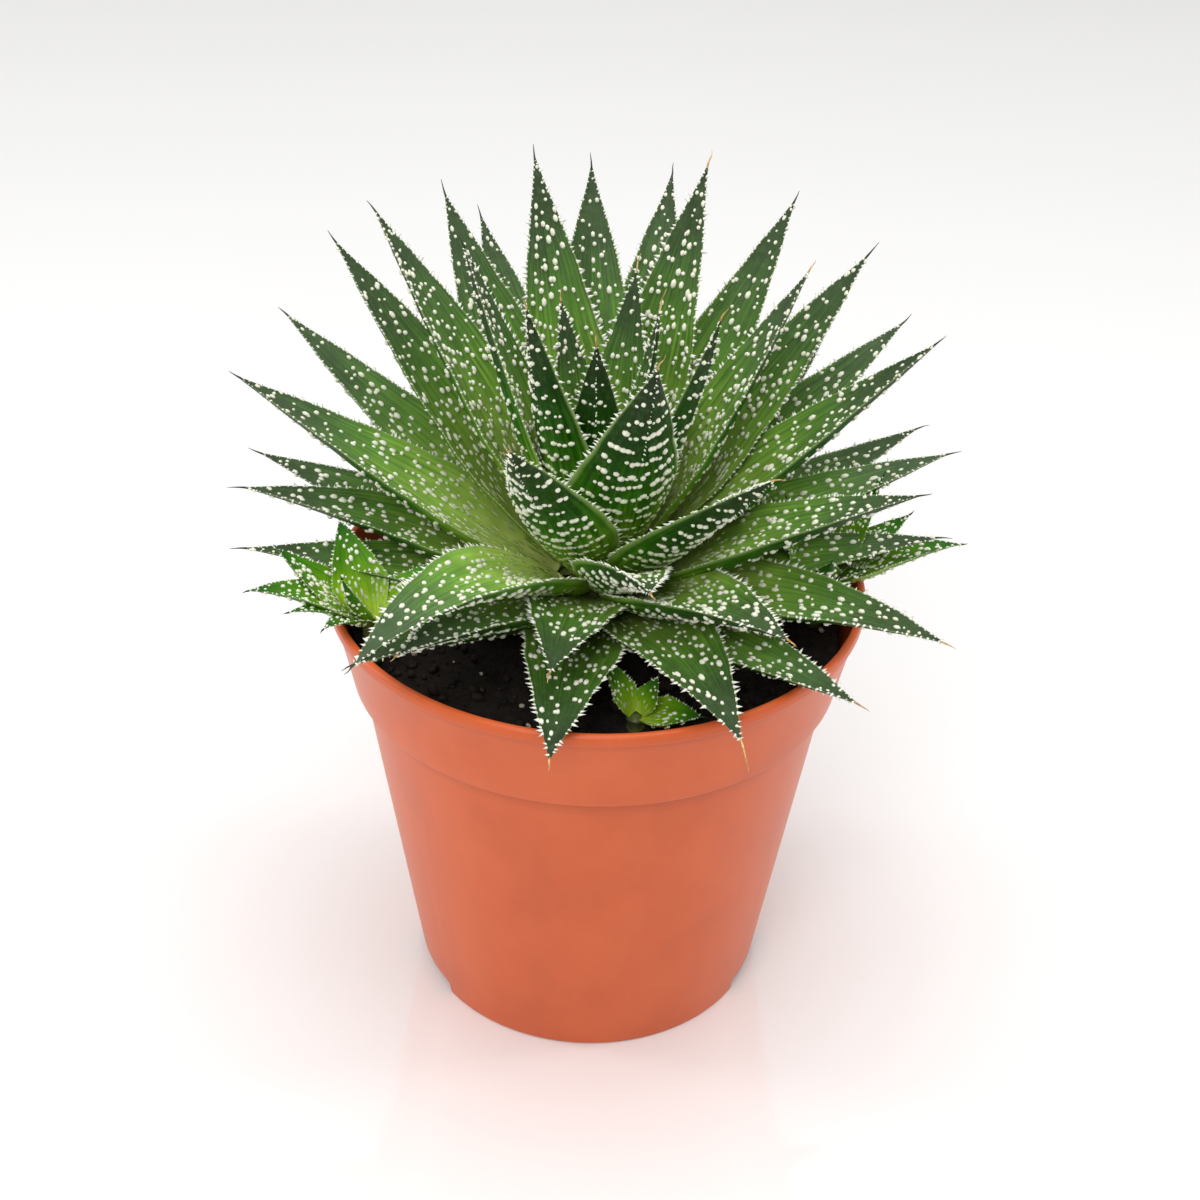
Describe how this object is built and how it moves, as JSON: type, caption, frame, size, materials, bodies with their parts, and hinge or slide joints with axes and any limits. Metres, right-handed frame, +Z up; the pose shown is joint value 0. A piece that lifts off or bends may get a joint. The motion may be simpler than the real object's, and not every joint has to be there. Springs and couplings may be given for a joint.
{
  "type": "potted aloe",
  "caption": "Rosette succulent with pointed, white-dotted, toothed leaves and small offsets, standing in soil in a round tapered plastic nursery pot.",
  "frame": {"origin": "centre of the pot's foot, on the surface that the pot stands on", "axes": "+Z up along the pot's axis; -Y is the front, where the lowest leaves hang over the rim; +X is to the right seen from the front"},
  "size_m": [0.1608, 0.1517, 0.1896],
  "materials": {
    "pot": "semi-gloss moulded polypropylene, terracotta orange",
    "soil": null,
    "stem": null,
    "leaf": null,
    "offset": null
  },
  "bodies": {
    "root": {"pot": "pot", "soil": "soil", "stem": "stem", "leaf_01": "leaf", "leaf_02": "leaf", "leaf_03": "leaf", "leaf_04": "leaf", "leaf_05": "leaf", "leaf_06": "leaf", "leaf_07": "leaf", "leaf_08": "leaf", "leaf_09": "leaf", "leaf_10": "leaf", "leaf_11": "leaf", "leaf_12": "leaf", "leaf_13": "leaf", "leaf_14": "leaf", "leaf_15": "leaf", "leaf_16": "leaf", "leaf_17": "leaf", "leaf_18": "leaf", "leaf_19": "leaf", "leaf_20": "leaf", "leaf_21": "leaf", "leaf_22": "leaf", "leaf_23": "leaf", "leaf_24": "leaf", "leaf_25": "leaf", "leaf_26": "leaf", "leaf_27": "leaf", "leaf_28": "leaf", "leaf_29": "leaf", "leaf_30": "leaf", "leaf_31": "leaf", "leaf_32": "leaf", "leaf_33": "leaf", "leaf_34": "leaf", "leaf_35": "leaf", "leaf_36": "leaf", "leaf_37": "leaf", "leaf_38": "leaf", "leaf_39": "leaf", "leaf_40": "leaf", "leaf_41": "leaf", "leaf_42": "leaf", "leaf_43": "leaf", "leaf_44": "leaf", "leaf_45": "leaf", "leaf_46": "leaf", "offset_left": "offset", "offset_right": "offset", "offset_front": "offset"}
  },
  "joints": []
}
